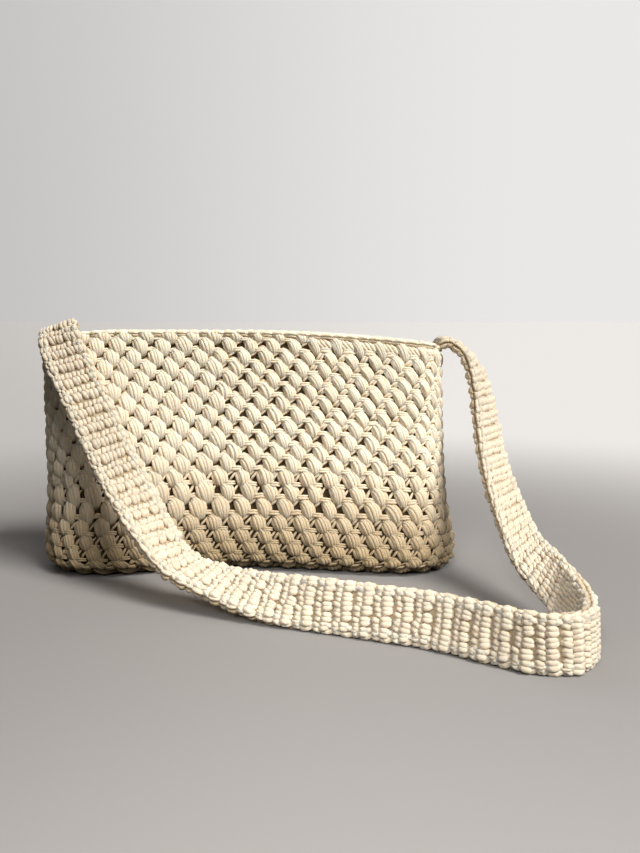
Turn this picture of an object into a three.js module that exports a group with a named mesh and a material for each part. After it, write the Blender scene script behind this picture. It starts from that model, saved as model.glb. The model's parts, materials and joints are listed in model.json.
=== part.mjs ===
// Crochet sling bag, standing on its flat base, with its strap draped in front of it.
// Units are millimetres, +Z is up, -Y is the front of the bag, and the origin is the
// centre of the flat base. The puff-stitch tube is worked in one piece from the base up,
// a chain edging runs round its mouth, and the ribbed strap grows from the two ends.
import * as THREE from 'three';

// ---------- driving sizes ----------
const FABRIC = 8.5;             // thickness of the puff-stitch fabric
const RIM = 169;                // height of the fabric at the front of the mouth
const LIP = 2;                  // rounding of the fabric's top edge
const FLOOR_INSET = 13.5;       // how far the inner floor lies inside the outer base
const SEAT_GAP = 0.3;           // clearance kept between touching pieces
const EDGING_WIDTH = 7;
const EDGING_HEIGHT = 4;
const STRAP_WIDTH = 31;
const STRAP_THICKNESS = 6;
const STRAP_ROUNDING = 2.4;     // of the strap's long edges

// The rim sinks towards both ends, where the strap pulls on it: from is where a slope
// starts, to the tip where it reaches its depth.
const RIM_SAGS = [
  { depth: 10, from: -108, to: -153 },
  { depth: 10, from: -20, to: 141 },
  { depth: 5, from: 130, to: 141 },
];

// The front is pushed in beside the middle of the base, more steeply on its left.
const DENT = { centre: -22, leftWidth: 52, rightWidth: 100 };

// Facets.
const END_FACETS = 14;          // round each half-oval end
const SIDE_FACETS = 22;         // along the front, and along the back
const WALL_ROWS = 18;
const ROW_CROWDING = 1.35;      // above 1, the wall's rings crowd towards the base
const INNER_ROWS = 10;
const EDGING_FACETS = 8;
const STRAP_STEPS_PER_ROW = 4;

// Level outlines of the bag, from the base up. left and right are its tips, leftTip and
// rightTip how far back they lie, leftEnd and rightEnd the lengths of the half-oval ends,
// front and back the two faces, and dent the depth by which the front is pushed in.
const OUTLINES = [
  { z: 0,   left: -141, leftTip: -12, leftEnd: 37, right: 140, rightTip: -12, rightEnd: 36,
    front: -59, back: 36, dent: 24 },
  { z: 3,   left: -147, leftTip: -11, leftEnd: 42, right: 147, rightTip: -11, rightEnd: 41,
    front: -63, back: 41, dent: 25 },
  { z: 11,  left: -153, leftTip: -10, leftEnd: 46, right: 150, rightTip: -10, rightEnd: 44,
    front: -65, back: 45, dent: 25 },
  { z: 28,  left: -154, leftTip: -7,  leftEnd: 46, right: 150, rightTip: -7,  rightEnd: 42,
    front: -60, back: 47, dent: 21 },
  { z: 50,  left: -153, leftTip: -2,  leftEnd: 44, right: 146, rightTip: -1,  rightEnd: 37,
    front: -53, back: 45, dent: 18 },
  { z: 80,  left: -153, leftTip: -1,  leftEnd: 39, right: 143, rightTip: 0,   rightEnd: 31,
    front: -46, back: 42, dent: 14 },
  { z: 110, left: -153, leftTip: -3,  leftEnd: 35, right: 142, rightTip: 1,   rightEnd: 26,
    front: -39, back: 38, dent: 10 },
  { z: 140, left: -153, leftTip: -6,  leftEnd: 32, right: 141, rightTip: 1,   rightEnd: 21,
    front: -32, back: 33, dent: 6 },
  { z: 169, left: -153, leftTip: -10, leftEnd: 30, right: 141, rightTip: 1,   rightEnd: 18,
    front: -26, back: 28, dent: 3 },
];

// Route of the strap, from the left end of the mouth down the front, along the surface,
// round its turn and back up to the right end. x, y and z place the middle of the strap;
// heading and lean, in degrees, aim its width from its first edge to its second.
const STRAP_ROUTE = [
  { x: -137.6, y: -16.8, z: 171.5, heading: -23, lean: 16 },
  { x: -138, y: -20.5, z: 173.6, heading: -20, lean: 16 },
  { x: -137.4, y: -25, z: 172.6, heading: -15, lean: 16 },
  { x: -135.8, y: -29, z: 168,   heading: -8,  lean: 15 },
  { x: -128, y: -40,  z: 152,  heading: 4,   lean: 15 },
  { x: -114, y: -52,  z: 129,  heading: 14,  lean: 15 },
  { x: -101, y: -62,  z: 104,  heading: 18,  lean: 16 },
  { x: -87,  y: -74,  z: 81,   heading: 20,  lean: 19 },
  { x: -72,  y: -88,  z: 59.5, heading: 29,  lean: 13 },
  { x: -57,  y: -104, z: 40.5, heading: 42,  lean: 5 },
  { x: -39.5, y: -121, z: 25.5, heading: 52, lean: 8 },
  { x: -13,  y: -138, z: 18.5, heading: 58,  lean: 21 },
  { x: 17.5, y: -156, z: 14.8, heading: 62,  lean: 45 },
  { x: 50,   y: -175, z: 15.5, heading: 64,  lean: 72 },
  { x: 84,   y: -191, z: 15.5, heading: 66,  lean: 73 },
  { x: 115,  y: -207, z: 15.5, heading: 62,  lean: 73 },
  { x: 141,  y: -228, z: 15.5, heading: 60,  lean: 73 },
  { x: 162,  y: -244, z: 15.5, heading: 72,  lean: 76 },
  { x: 179,  y: -246, z: 15.5, heading: 100, lean: 80 },
  { x: 192,  y: -234, z: 15.8, heading: 120, lean: 86 },
  { x: 197,  y: -212, z: 16.5, heading: 80,  lean: 82 },
  { x: 196,  y: -180, z: 19,   heading: 50,  lean: 64 },
  { x: 190,  y: -150, z: 26,   heading: 42,  lean: 42 },
  { x: 182,  y: -122, z: 35,   heading: 42,  lean: 22 },
  { x: 177.5, y: -90,  z: 51,   heading: 44,  lean: 12 },
  { x: 172,  y: -54,  z: 78,   heading: 49,  lean: 5 },
  { x: 169.5, y: -30, z: 106,  heading: 54,  lean: 3 },
  { x: 167,  y: -13,  z: 132,  heading: 63,  lean: 3 },
  { x: 162,  y: -4,   z: 148,  heading: 74,  lean: 3 },
  { x: 155,  y: -1,   z: 158,  heading: 82,  lean: 2 },
  { x: 148,  y: 1,    z: 163,  heading: 86,  lean: 1 },
  { x: 143.5, y: 1,   z: 164.5, heading: 88, lean: 0 },
  { x: 140,  y: 1,    z: 163.6, heading: 90, lean: 0 },
];
const LEFT_ROOT = { x: -137.5, y: -16.5, heading: -24, lean: 16 };
const RIGHT_ROOT = { x: 137, y: 1, heading: 90, lean: 0 };

// ---------- finish ----------
const COTTON_CREAM = 0xeadfc4;
const COTTON_EDGE = 0xf1e8d2;
const COTTON_STRAP = 0xede3ca;

function cotton(color) {
  return new THREE.MeshStandardMaterial({ color, roughness: 0.92, metalness: 0 });
}

// ---------- shared geometry ----------
function smooth(value) {
  const t = THREE.MathUtils.clamp(value, 0, 1);
  return t * t * (3 - 2 * t);
}

function rimHeight(x) {
  const sags = RIM_SAGS.map(({ depth, from, to }) => (
    depth * Math.max((x - from) / (to - from), 0) ** 2
  ));
  return RIM - sags.reduce((sum, sag) => sum + sag, 0);
}

// Catmull-Rom value of one column of a table, at key's value.
function tableValue(table, key, at, column) {
  let i = 0;
  while (i < table.length - 2 && table[i + 1][key] < at) i += 1;
  const span = table[i + 1][key] - table[i][key];
  const t = THREE.MathUtils.clamp((at - table[i][key]) / span, 0, 1);
  const slope = (k) => {
    const low = table[Math.max(k - 1, 0)];
    const high = table[Math.min(k + 1, table.length - 1)];
    return (high[column] - low[column]) / (high[key] - low[key]);
  };
  const t2 = t * t;
  const t3 = t2 * t;
  return (2 * t3 - 3 * t2 + 1) * table[i][column] + (t3 - 2 * t2 + t) * span * slope(i)
    + (3 * t2 - 2 * t3) * table[i + 1][column] + (t3 - t2) * span * slope(i + 1);
}

// The level outline at height z, drawn in by inset: a list of [x, y] that runs
// anticlockwise seen from above, starting at the front of the right end.
function outlineAt(z, inset) {
  const value = (column) => tableValue(OUTLINES, 'z', z, column);
  const front = value('front') + inset;
  const back = value('back') - inset;
  const leftEnd = value('leftEnd') - inset;
  const rightEnd = value('rightEnd') - inset;
  const leftMiddle = value('left') + inset + leftEnd;
  const rightMiddle = value('right') - inset - rightEnd;
  const points = [];
  const addEnd = (middle, length, tip, start) => {
    for (let i = 0; i < END_FACETS; i += 1) {
      const angle = start + (Math.PI * i) / END_FACETS;
      const reach = Math.sin(angle) > 0 ? back - tip : tip - front;
      points.push([middle + length * Math.cos(angle), tip + reach * Math.sin(angle)]);
    }
  };
  const addSide = (from, to, y) => {
    for (let i = 0; i < SIDE_FACETS; i += 1) {
      points.push([THREE.MathUtils.lerp(from, to, i / SIDE_FACETS), y]);
    }
  };
  addEnd(rightMiddle, rightEnd, value('rightTip'), -Math.PI / 2);
  addSide(rightMiddle, leftMiddle, back);
  addEnd(leftMiddle, leftEnd, value('leftTip'), Math.PI / 2);
  addSide(leftMiddle, rightMiddle, front);
  const centre = (front + back) / 2;
  return points.map(([x, y]) => {
    const width = x < DENT.centre ? DENT.leftWidth : DENT.rightWidth;
    const push = value('dent') * Math.exp(-(((x - DENT.centre) / width) ** 2));
    return [x, y + push * smooth((centre - y) / (centre - front))];
  });
}

// One ring of the wall. Heights are stated for the front of the mouth and follow its sag.
function wallRing(z, inset) {
  return outlineAt(z, inset).map(([x, y]) => [x, y, (z * rimHeight(x)) / RIM]);
}

// A closed solid from rings of equal length. Rings that form a loop need no caps.
function solidFromRings(rings, looped) {
  const count = rings[0].length;
  const positions = rings.flat(2);
  const indices = [];
  const strips = looped ? rings.length : rings.length - 1;
  for (let r = 0; r < strips; r += 1) {
    const low = r * count;
    const high = ((r + 1) % rings.length) * count;
    for (let i = 0; i < count; i += 1) {
      const j = (i + 1) % count;
      indices.push(low + i, low + j, high + j);
      indices.push(low + i, high + j, high + i);
    }
  }
  if (!looped) {
    addCap(positions, indices, rings[0], 0, true);
    addCap(positions, indices, rings[rings.length - 1], (rings.length - 1) * count, false);
  }
  const geometry = new THREE.BufferGeometry();
  geometry.setAttribute('position', new THREE.Float32BufferAttribute(positions, 3));
  geometry.setIndex(indices);
  geometry.computeVertexNormals();
  return geometry;
}

function addCap(positions, indices, ring, offset, reversed) {
  const centre = positions.length / 3;
  for (let axis = 0; axis < 3; axis += 1) {
    positions.push(ring.reduce((sum, point) => sum + point[axis], 0) / ring.length);
  }
  for (let i = 0; i < ring.length; i += 1) {
    const a = offset + i;
    const b = offset + ((i + 1) % ring.length);
    if (reversed) indices.push(centre, b, a);
    else indices.push(centre, a, b);
  }
}

// ---------- bag body ----------
function bagBody() {
  const rings = [];
  for (let i = 0; i < WALL_ROWS; i += 1) {
    rings.push(wallRing((RIM - LIP) * (i / (WALL_ROWS - 1)) ** ROW_CROWDING, 0));
  }
  rings.push(wallRing(RIM, LIP));
  rings.push(wallRing(RIM, FABRIC - LIP));
  for (let i = 0; i < INNER_ROWS; i += 1) {
    const z = THREE.MathUtils.lerp(RIM - LIP, 2 * FABRIC, i / (INNER_ROWS - 1));
    rings.push(wallRing(z, FABRIC));
  }
  rings.push(wallRing(FABRIC, FLOOR_INSET));
  return solidFromRings(rings, false);
}

// ---------- chain edging round the mouth ----------
function rimEdging() {
  const line = wallRing(RIM, FABRIC / 2);
  const count = line.length;
  const rings = line.map(([x, y], i) => {
    const before = line[(i + count - 1) % count];
    const after = line[(i + 1) % count];
    const along = new THREE.Vector2(after[0] - before[0], after[1] - before[1]).normalize();
    const ring = [];
    for (let k = 0; k < EDGING_FACETS; k += 1) {
      const angle = (2 * Math.PI * k) / EDGING_FACETS;
      const out = (EDGING_WIDTH / 2) * Math.cos(angle);
      const up = (EDGING_HEIGHT / 2) * (1 + Math.sin(angle)) + SEAT_GAP;
      const ringX = x - along.y * out;
      ring.push([ringX, y + along.x * out, rimHeight(ringX) + up]);
    }
    return ring;
  });
  return solidFromRings(rings, true);
}

// ---------- strap ----------
// Height of the strap's cut end at x: the level of the edging under its middle, on the
// edging's slope there.
function seatHeight(root, x) {
  const slope = (rimHeight(root.x + 1) - rimHeight(root.x - 1)) / 2;
  return rimHeight(root.x) + EDGING_HEIGHT + 2 * SEAT_GAP + slope * (x - root.x);
}

function strapSections() {
  const rootRow = (root) => ({ ...root, z: seatHeight(root, root.x) });
  const rows = [rootRow(LEFT_ROOT), ...STRAP_ROUTE, rootRow(RIGHT_ROOT)];
  const centres = rows.map((row) => new THREE.Vector3(row.x, row.y, row.z));
  const aims = rows.map((row) => {
    const heading = THREE.MathUtils.degToRad(row.heading);
    const lean = THREE.MathUtils.degToRad(row.lean);
    const level = Math.cos(lean);
    return new THREE.Vector3(
      level * Math.cos(heading), level * Math.sin(heading), Math.sin(lean),
    );
  });
  const route = new THREE.CatmullRomCurve3(centres, false, 'centripetal');
  const aim = new THREE.CatmullRomCurve3(aims, false, 'catmullrom');
  const count = (rows.length - 1) * STRAP_STEPS_PER_ROW;
  const sections = [];
  for (let i = 0; i <= count; i += 1) {
    const centre = route.getPoint(i / count);
    const width = aim.getPoint(i / count).normalize();
    const normal = route.getTangent(i / count).cross(width).normalize();
    sections.push({ centre, width, normal });
  }
  return sections;
}

// The strap's section with rounded corners, as [across, through] from its middle.
function strapOutline() {
  const edge = STRAP_WIDTH / 2;
  const skin = STRAP_THICKNESS / 2;
  const corner = [0, 0.5, 1].map((turn) => {
    const angle = (turn * Math.PI) / 2;
    return [
      edge - STRAP_ROUNDING * (1 - Math.cos(angle)),
      skin - STRAP_ROUNDING * (1 - Math.sin(angle)),
    ];
  });
  const upper = [...corner, ...corner.map(([w, n]) => [-w, n]).reverse()];
  return [...upper, ...upper.map(([w, n]) => [-w, -n])];
}

function strap() {
  const outline = strapOutline();
  const rings = strapSections().map(({ centre, width, normal }) => outline.map(([w, n]) => [
    centre.x + width.x * w + normal.x * n,
    centre.y + width.y * w + normal.y * n,
    centre.z + width.z * w + normal.z * n,
  ]));
  const seat = (ring, root) => ring.map(([x, y]) => [x, y, seatHeight(root, x)]);
  rings[0] = seat(rings[0], LEFT_ROOT);
  rings[rings.length - 1] = seat(rings[rings.length - 1], RIGHT_ROOT);
  return solidFromRings(rings, false);
}

// ---------- assembly ----------
const bag = new THREE.Group();

function addPiece(name, geometry, material) {
  const piece = new THREE.Mesh(geometry, material);
  piece.name = name;
  bag.add(piece);
}

addPiece('bag_body', bagBody(), cotton(COTTON_CREAM));
addPiece('rim_edging', rimEdging(), cotton(COTTON_EDGE));
addPiece('strap', strap(), cotton(COTTON_STRAP));

export default bag;
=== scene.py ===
"""Crochet sling bag in cotton yarn, standing on its base with its strap laid in front.

The bag's surfaces are drawn from the same sizes as its solids. Every stitch is worked flat,
as short lengths of yarn, and a node tree repeats the stitches and lays them on the surface.
Tables are in millimetres; everything that is built is in metres.
"""

import json
import math
import random

import bpy
import numpy as np

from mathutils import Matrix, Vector

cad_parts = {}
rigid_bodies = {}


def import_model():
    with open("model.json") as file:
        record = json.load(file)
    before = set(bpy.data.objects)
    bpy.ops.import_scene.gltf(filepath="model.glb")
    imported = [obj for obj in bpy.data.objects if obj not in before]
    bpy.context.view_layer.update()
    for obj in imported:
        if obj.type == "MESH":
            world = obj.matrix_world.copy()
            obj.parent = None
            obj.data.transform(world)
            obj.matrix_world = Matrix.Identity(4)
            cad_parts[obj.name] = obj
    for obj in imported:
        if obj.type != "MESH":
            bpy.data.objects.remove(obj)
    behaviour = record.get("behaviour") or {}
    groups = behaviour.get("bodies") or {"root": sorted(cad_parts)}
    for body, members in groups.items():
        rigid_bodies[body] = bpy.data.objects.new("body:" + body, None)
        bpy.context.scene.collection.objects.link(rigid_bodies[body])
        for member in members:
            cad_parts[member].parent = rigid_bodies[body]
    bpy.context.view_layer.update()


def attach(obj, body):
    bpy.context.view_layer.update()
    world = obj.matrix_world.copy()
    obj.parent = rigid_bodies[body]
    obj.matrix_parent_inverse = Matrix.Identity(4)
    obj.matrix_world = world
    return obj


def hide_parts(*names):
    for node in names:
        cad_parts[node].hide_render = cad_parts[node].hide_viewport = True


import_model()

MM = 0.001

# ---------- the bag's shape, as in its solids ----------
FABRIC = 8.5  # thickness of the crochet
RIM = 169  # height of the mouth before it sags
RIM_SAGS = ((10, -108, -153), (10, -20, 141), (5, 130, 141))  # depth, and x from and to
DENT_CENTRE = -22  # x of the push-in at the front, and its reach each way
DENT_LEFT = 52
DENT_RIGHT = 100
SPINE_ENDS = (-104, 102)  # of the long middle line of the base
SPINE_Y = -11.5
SPINE_BEND = 11
SPINE_BEND_REACH = 80
TURN_UNDER = 14.0  # radius of the turn from the front into the base
OUTLINE_COLUMNS = (
    "z", "left", "leftTip", "leftEnd", "right", "rightTip", "rightEnd", "front", "back", "dent",
)
OUTLINES = np.array([
    (0, -141, -12, 37, 140, -12, 36, -59, 36, 24),
    (3, -147, -11, 42, 147, -11, 41, -63, 41, 25),
    (11, -153, -10, 46, 150, -10, 44, -65, 45, 25),
    (28, -154, -7, 46, 150, -7, 42, -60, 47, 21),
    (50, -153, -2, 44, 146, -1, 37, -53, 45, 18),
    (80, -153, -1, 39, 143, 0, 31, -46, 42, 14),
    (110, -153, -3, 35, 142, 1, 26, -39, 38, 10),
    (140, -153, -6, 32, 141, 1, 21, -32, 33, 6),
    (169, -153, -10, 30, 141, 1, 18, -26, 28, 3),
], dtype=float)

# ---------- the strap's route, as in its solid: x, y, z, heading, lean ----------
STRAP_WIDTH = 31
STRAP_THICKNESS = 6
SEAT_RISE = 4.6  # from the rim up to the strap's middle
LEFT_ROOT = (-137.5, -16.5, -24, 16)
RIGHT_ROOT = (137, 1, 90, 0)
STRAP_ROUTE = (
    (-137.6, -16.8, 171.5, -23, 16), (-138, -20.5, 173.6, -20, 16),
    (-137.4, -25, 172.6, -15, 16), (-135.8, -29, 168, -8, 15),
    (-128, -40, 152, 4, 15), (-114, -52, 129, 14, 15), (-101, -62, 104, 18, 16),
    (-87, -74, 81, 20, 19), (-72, -88, 59.5, 29, 13), (-57, -104, 40.5, 42, 5),
    (-39.5, -121, 25.5, 52, 8), (-13, -138, 18.5, 58, 21), (17.5, -156, 14.8, 62, 45),
    (50, -175, 15.5, 64, 72), (84, -191, 15.5, 66, 73), (115, -207, 15.5, 62, 73),
    (141, -228, 15.5, 60, 73), (162, -244, 15.5, 72, 76), (179, -246, 15.5, 100, 80),
    (192, -234, 15.8, 120, 86), (197, -212, 16.5, 80, 82), (196, -180, 19, 50, 64),
    (190, -150, 26, 42, 42), (182, -122, 35, 42, 22), (177.5, -90, 51, 44, 12),
    (172, -54, 78, 49, 5), (169.5, -30, 106, 54, 3), (167, -13, 132, 63, 3),
    (162, -4, 148, 74, 3), (155, -1, 158, 82, 2), (148, 1, 163, 86, 1),
    (143.5, 1, 164.5, 88, 0), (140, 1, 163.6, 90, 0),
)

# ---------- the crochet ----------
PUFF_PITCH = 15.9  # from puff to puff along a round
FIRST_PUFF = 2.4  # x of the puff that the rounds are counted from
FIRST_ROUND = 7  # and the round that it is in, from the top
WALL_DEPTH = 5.6  # of the puffs, in front of the cotton ground
ROUND_SHIFT = -0.31  # of each round against the one above, in pitches
STEP_SHIFT = 0.33  # of a round worked below a stepped one
# Rounds of puffs, from the top: height of the puffs' lower points at the front, how long
# and how wide the puffs are against their usual size, and the kind of puff.
PUFF_ROUNDS = (
    (164.4, 0.8, 1.08, "full"), (156.2, 0.94, 1.08, "full"), (148.0, 0.96, 1.08, "full"),
    (139.8, 0.98, 1.08, "full"), (131.6, 1.0, 1.08, "full"), (123.2, 1.02, 1.08, "full"),
    (114.8, 1.02, 1.08, "full"), (106.2, 1.02, 1.08, "full"), (97.3, 1.04, 1.1, "full"),
    (88.3, 1.05, 1.11, "full"), (79.4, 1.06, 1.12, "full"), (70.5, 1.08, 1.14, "full"),
    (61.2, 1.08, 1.2, "step"), (50.2, 1.15, 1.2, "full"), (39.2, 1.12, 1.18, "full"),
    (29.8, 0.98, 1.15, "step"), (20.5, 0.94, 1.13, "step"), (12.0, 0.9, 1.12, "step"),
    (4.9, 0.88, 1.14, "step"), (0.4, 0.9, 1.18, "step"), (-4.5, 0.94, 1.28, "step"),
)
PUFFS_ROUND = 43  # in every round
FRONT_PUFFS = 9.5  # at an even pitch to each side of the front's first puff
EGGS = (-1.5, 12)  # outside these places along a round the puffs stand upright
LEANING = (2.5, 12)  # and between these they lean, above a height
LEANING_ABOVE = 101
HIGH_PUFFS = 1.24  # how long the leaning puffs under the rim are
BASE_START = 12  # from the base's edge to its first round of close stitches
BASE_ROUND = 8.0  # from round to round of the base, and from stitch to stitch
BASE_PITCH = 8.2
BASE_SHIFT = 0.4  # of each round against the one before, in stitches
LINING_START = 7.0  # from the rim down to the first round seen inside
LINING_ROUND = 8.8
LINING_SHIFT = 0.3
CHAIN_PITCH = 8.0
CHAIN_TOP = SEAT_RISE - 0.6  # over the rim
RIB_PITCH = 12.3
RIB_STITCHES = 5
STAGGER = 1.3  # of the stitches of one rib against those of the next
EDGE_LOOPS = ((-0.22, 0.85), (0.22, 1.2))  # places along a rib, in pitches, and sizes

# ---------- how finely surfaces are drawn ----------
END_POINTS = 40  # of a level outline, round each end and along each side
SIDE_POINTS = 60
ROUND_SAMPLES = 400  # points of a surface along a round
WALL_ROWS = 70  # from base to rim, closer together low down
WALL_ROW_SPREAD = 1.3
FLOOR_ROWS = 24
LINING_ROWS = 40
LINING_FLOOR_ROWS = 16
LINING_FOOT = ((FABRIC, 13.5), (11, 10))  # height and inset of its rounds below the walls
LINING_UPRIGHT = 17  # height at which its walls start
# Inset and rise of the rounds with which both skins go on over the rim.
WALL_TOP = ((0.2, 1.6), (1.0, 3.1), (2.8, 4.0), (6, 4.0), (10, 3.0))
LINING_TOP = ((8, 2), (6.5, 4))
STRAP_STEPS = 9  # between two rows of the strap's route
FACE_ROWS = 11  # across a face of the strap
FACE_REACH = 1.3  # of a face past the strap's middle, in half widths
END_STEPS = 14  # by which a face of the strap is lengthened at both ends
FLAT_ROUND = 660  # length to which every round is laid flat
FLAT_ORIGIN = 0.5  # added to flat places, so that they are all positive
# Shares of a round at which its points lie. They go on past the middle of the back, for the
# stitches that cross it.
ROUND_SHARES = np.linspace(-0.54, 0.54, ROUND_SAMPLES)
FLAT_X = ROUND_SHARES * FLAT_ROUND


# ---------- surfaces ----------
def linked_object(name, data):
    """A new object in the scene, whose mesh, lamp or camera has the same name."""
    data.name = name
    made = bpy.data.objects.new(name, data)
    bpy.context.scene.collection.objects.link(made)
    return made


def new_mesh(name, points, faces):
    """A mesh from points in mm."""
    mesh = bpy.data.meshes.new(name)
    mesh.from_pydata((np.array(points) * MM).tolist(), [], faces)
    return mesh


def keep_values(mesh, name, kind, values, domain="POINT"):
    """Values of a mesh under a name, where nodes find them."""
    data = mesh.attributes.new(name, kind, domain).data
    data.foreach_set("value" if kind in ("FLOAT", "INT") else "vector", np.ravel(values))


def smooth(value):
    t = np.clip(value, 0, 1)
    return t * t * (3 - 2 * t)


def rim_height(x):
    sags = [depth * np.maximum((x - start) / (end - start), 0) ** 2
            for depth, start, end in RIM_SAGS]
    return RIM - sum(sags)


def tuck(z):
    """How far the front turns in towards the base."""
    drop = np.clip(TURN_UNDER - z, 0, TURN_UNDER)
    return TURN_UNDER - np.sqrt(TURN_UNDER**2 - drop**2)


def outline_values(z):
    """The outline table's row at height z, on a smooth curve through its rows."""
    heights = OUTLINES[:, 0]
    i = int(np.clip(np.searchsorted(heights, z) - 1, 0, len(heights) - 2))
    span = heights[i + 1] - heights[i]
    t = np.clip((z - heights[i]) / span, 0, 1)

    def slope(k):
        low, high = max(k - 1, 0), min(k + 1, len(heights) - 1)
        return (OUTLINES[high] - OUTLINES[low]) / (heights[high] - heights[low])

    row = ((2 * t**3 - 3 * t**2 + 1) * OUTLINES[i] + (t**3 - 2 * t**2 + t) * span * slope(i)
           + (3 * t**2 - 2 * t**3) * OUTLINES[i + 1] + (t**3 - t**2) * span * slope(i + 1))
    return dict(zip(OUTLINE_COLUMNS, row))


def level_outline(z, inset=0.0):
    """Points of the level outline, anticlockwise from the front of the right end."""
    at = outline_values(z)
    front, back = at["front"] + inset, at["back"] - inset
    left_end, right_end = at["leftEnd"] - inset, at["rightEnd"] - inset
    left_middle = at["left"] + inset + left_end
    right_middle = at["right"] - inset - right_end

    def half_oval(middle, length, tip, start):
        angle = start + np.pi * np.linspace(0, 1, END_POINTS, endpoint=False)
        reach = np.where(np.sin(angle) > 0, back - tip, tip - front)
        return np.stack([middle + length * np.cos(angle), tip + reach * np.sin(angle)], 1)

    def side(start, end, y):
        x = np.linspace(start, end, SIDE_POINTS, endpoint=False)
        return np.stack([x, np.full(SIDE_POINTS, y)], 1)

    points = np.concatenate([
        half_oval(right_middle, right_end, at["rightTip"], -np.pi / 2),
        side(right_middle, left_middle, back),
        half_oval(left_middle, left_end, at["leftTip"], np.pi / 2),
        side(left_middle, right_middle, front),
    ])
    x, y = points.T
    centre = (front + back) / 2
    width = np.where(x < DENT_CENTRE, DENT_LEFT, DENT_RIGHT)
    push = at["dent"] * np.exp(-(((x - DENT_CENTRE) / width) ** 2)) + tuck(z)
    return np.stack([x, y + push * smooth((centre - y) / (centre - front))], 1)


def walk(points):
    """Distance from the first point to each of them, along them."""
    return np.concatenate([[0], np.cumsum(np.linalg.norm(np.diff(points, axis=0), axis=1))])


def even_round(points):
    """(points evenly spaced along a closed outline from its front middle, its length)."""
    closed = np.concatenate([points, points[:1]])
    walked = walk(closed)
    length = walked[-1]
    front = slice(len(points) - SIDE_POINTS, len(points))
    start = np.interp(FIRST_PUFF, points[front, 0], walked[:-1][front])
    at = (start + ROUND_SHARES * length) % length
    even = np.stack([np.interp(at, walked, closed[:, k]) for k in range(points.shape[1])], 1)
    return even, length


def raised(points, z):
    x, y = points.T
    return np.stack([x, y, z * rim_height(x) / RIM], 1)


def towards_spine(points, share):
    """Base outline drawn towards the long middle line of the base."""
    x, y = points.T
    spine_x = np.clip(x, *SPINE_ENDS)
    spine_y = SPINE_Y + SPINE_BEND * np.exp(-(((x - DENT_CENTRE) / SPINE_BEND_REACH) ** 2))
    return np.stack([x + (spine_x - x) * share, y + (spine_y - y) * share], 1)


def outward(grid):
    """Unit normals of a grid of points, along times up."""
    across = np.cross(np.gradient(grid, axis=1), np.gradient(grid, axis=0))
    return across / np.linalg.norm(across, axis=2, keepdims=True)


def surface_object(name, grid, flat_x, flat_y):
    """A mesh of the grid that knows where each point lies when the cloth is laid flat."""
    rows, columns = grid.shape[:2]
    index = np.arange(rows * columns).reshape(rows, columns)
    faces = np.stack([index[:-1, :-1], index[:-1, 1:], index[1:, 1:], index[1:, :-1]], 2)
    mesh = new_mesh(name, grid.reshape(-1, 3), faces.reshape(-1, 4).tolist())
    flat = np.stack(np.broadcast_arrays(flat_x[None, :], flat_y[:, None]), 2) * MM + FLAT_ORIGIN
    keep_values(mesh, "flat", "FLOAT2", flat.reshape(-1, 2)[faces.ravel()], "CORNER")
    keep_values(mesh, "outward", "FLOAT_VECTOR", outward(grid))
    return linked_object(name, mesh)


def floor_rounds(outline, z, count):
    """Rounds of a flat floor, from its middle line outwards."""
    return [(towards_spine(outline, share), z) for share in np.linspace(0.97, 0.04, count)]


class Skin:
    """A skin of the bag in rounds from the middle of the base up. Laid flat, its rim is at 0."""

    def __init__(self, name, rounds, top, backwards=False):
        over = [(level_outline(RIM, inset), RIM + rise) for inset, rise in top]
        grid, self.lengths = [], []
        for points, z in rounds + over:
            even, length = even_round(points)
            grid.append(raised(even[::-1] if backwards else even, z))
            self.lengths.append(length)
        grid = np.array(grid)
        self.middle = grid[:, ROUND_SAMPLES // 2]
        walked = walk(self.middle)
        self.flat_y = walked - walked[-1 - len(top)]
        self.object = surface_object(name, grid, FLAT_X, self.flat_y)

    def length(self, flat_y):
        return float(np.interp(flat_y, self.flat_y, self.lengths))


class Wall(Skin):
    """The outer skin."""

    def __init__(self):
        floor = floor_rounds(level_outline(0), 0, FLOOR_ROWS)
        heights = [RIM * (i / WALL_ROWS) ** WALL_ROW_SPREAD for i in range(WALL_ROWS + 1)]
        walls = [(level_outline(z), z) for z in heights]
        super().__init__("wall_surface", floor + walls, WALL_TOP)
        upright = slice(len(floor), len(floor) + len(walls))
        self.heights, self.wall_y = self.middle[upright, 2], self.flat_y[upright]
        self.base_edge = self.wall_y[0]

    def drop(self, z):
        """Flat place of the round at height z."""
        return float(np.interp(z, self.heights, self.wall_y))


class Lining(Skin):
    """The inner skin. It is seen from inside, so its rounds run the other way."""

    def __init__(self):
        heights = np.linspace(LINING_UPRIGHT, RIM, LINING_ROWS)
        rounds = [(level_outline(z, inset), z)
                  for z, inset in (*LINING_FOOT, *((z, FABRIC) for z in heights))]
        floor = floor_rounds(*rounds[0], LINING_FLOOR_ROWS)
        super().__init__("lining_surface", floor + rounds, LINING_TOP, backwards=True)


def rim_surface():
    """The top of the rim from its outer edge inwards, and its length."""
    insets = np.linspace(-1, FABRIC + 1, 8)
    rounds = []
    for inset in insets:
        even, length = even_round(level_outline(RIM, inset))
        x, y = even.T
        rounds.append(np.stack([x, y, rim_height(x) + CHAIN_TOP], 1))
    return surface_object("rim_surface", np.array(rounds), FLAT_X, insets), length


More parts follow.
